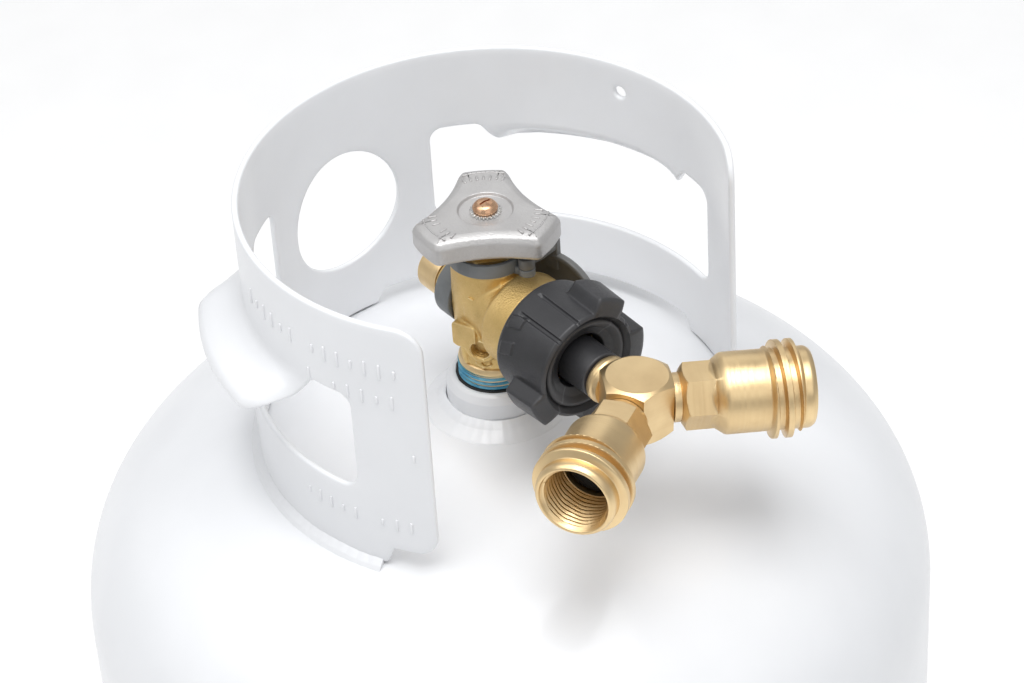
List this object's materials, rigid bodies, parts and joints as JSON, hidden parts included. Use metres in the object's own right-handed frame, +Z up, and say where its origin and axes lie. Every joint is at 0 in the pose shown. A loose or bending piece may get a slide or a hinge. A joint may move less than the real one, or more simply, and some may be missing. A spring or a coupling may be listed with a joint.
{
  "type": "propane tank",
  "caption": "Upright steel propane cylinder with guard collar, foot ring, overfill-protected handwheel valve and a fitted two-way outlet splitter.",
  "frame": {"origin": "centre of the circle the foot ring stands on, on the ground", "axes": "+Z up along the cylinder; -Y out of the valve's outlet, through the open side of the guard collar; +Y out of the relief outlet"},
  "size_m": [0.313, 0.313, 0.451],
  "materials": {
    "white_coat": "glossy white powder coat",
    "forged_brass": "rough forged",
    "machined_brass": "satin machined",
    "satin_cast": "satin cast zinc",
    "coppered_steel": "bright copper flash",
    "plated_steel": "zinc plated",
    "black_rubber": "matt",
    "black_nylon": "satin",
    "grey_plastic": "satin",
    "dark_grey_plastic": "satin",
    "float_plastic": "matt",
    "blue_sealant": "dried sealant film"
  },
  "bodies": {
    "tank": {"upper_shell": "white_coat", "lower_shell": "white_coat", "girth_weld": "white_coat", "neck_flange": "white_coat", "neck_weld": "white_coat", "foot_ring": "white_coat", "foot_weld": "white_coat", "collar": "white_coat", "collar_weld_left": "white_coat", "collar_weld_right": "white_coat", "valve_body": "forged_brass", "thread_sealant": "blue_sealant", "bonnet": "forged_brass", "stem_seal": "black_rubber", "gland_ring": "plated_steel", "check_body": "forged_brass", "check_spring": "plated_steel", "outlet_seal": "black_rubber", "dip_tube": "forged_brass", "relief_cap": "forged_brass", "relief_spring": "plated_steel", "opd_housing": "float_plastic", "float_pin": "plated_steel", "cap_retainer": "grey_plastic", "cap_pin": "plated_steel"},
    "wheel": {"handwheel": "satin_cast", "wheel_washer": "plated_steel", "wheel_screw": "coppered_steel", "stem": "forged_brass"},
    "plug": {"seat_plug": "forged_brass", "seat_disc": "black_rubber"},
    "check": {"check_plunger": "forged_brass"},
    "relief": {"relief_poppet": "forged_brass"},
    "bleeder": {"bleeder_screw": "forged_brass", "bleeder_seal": "black_rubber"},
    "float_lever": {"float_arm": "float_plastic", "float": "float_plastic", "float_clip": "plated_steel"},
    "opd": {"opd_piston": "forged_brass"},
    "cap": {"dust_cap": "dark_grey_plastic"},
    "splitter": {"splitter_body": "machined_brass", "inlet_nipple": "machined_brass", "nipple_oring": "black_rubber", "right_outlet": "machined_brass", "front_outlet": "machined_brass", "right_outlet_seal": "black_rubber", "front_outlet_seal": "black_rubber"},
    "nut": {"qcc_nut": "black_nylon", "nut_bushing": "black_nylon"}
  },
  "joints": [
    {"name": "handwheel_turn", "type": "hinge", "parent": "tank", "child": "wheel", "pos_m": [0, 0, 0.43], "axis": [0, 0, 1], "range_deg": [0, 720]},
    {"name": "plug_lift", "type": "slide", "parent": "tank", "child": "plug", "axis": [0, 0, 1], "range_m": [0, 0.0032]},
    {"name": "check_push", "type": "slide", "parent": "tank", "child": "check", "axis": [0, 1, 0], "range_m": [0, 0.0012], "stiffness_N_per_m": 300, "springref_m": -0.0005, "deforming": ["check_spring"]},
    {"name": "relief_lift", "type": "slide", "parent": "tank", "child": "relief", "axis": [0, 1, 0], "range_m": [0, 0.0014], "stiffness_N_per_m": 2000, "springref_m": -0.001, "deforming": ["relief_spring"]},
    {"name": "bleeder_turn", "type": "hinge", "parent": "tank", "child": "bleeder", "pos_m": [0, 0, 0.3895], "axis": [-0.829, -0.5592, 0], "range_deg": [-720, 0]},
    {"name": "float_swing", "type": "hinge", "parent": "tank", "child": "float_lever", "pos_m": [0, 0, 0.293], "axis": [1, 0, 0], "range_deg": [0, 50]},
    {"name": "piston_lift", "type": "slide", "parent": "tank", "child": "opd", "axis": [0, 0, 1], "range_m": [0, 0.004]},
    {"name": "dust_cap_swing", "type": "hinge", "parent": "tank", "child": "cap", "pos_m": [0.0035, -0.01715, 0.42], "axis": [0, 0, 1], "range_deg": [-5, 1]},
    {"name": "splitter_draw", "type": "slide", "parent": "tank", "child": "splitter", "axis": [0, -1, 0], "range_m": [0, 0.01524]},
    {"name": "nut_turn", "type": "hinge", "parent": "splitter", "child": "nut", "pos_m": [0, -0.04, 0.403], "axis": [0, -1, 0], "range_deg": [0, 1080]}
  ],
  "couplings": [
    {"joint": "plug_lift", "follows": "handwheel_turn", "m_per_rad": 0.0002546},
    {"joint": "piston_lift", "follows": "float_swing", "m_per_rad": 0.0045},
    {"joint": "nut_turn", "follows": "splitter_draw", "rad_per_m": 1236.8}
  ]
}
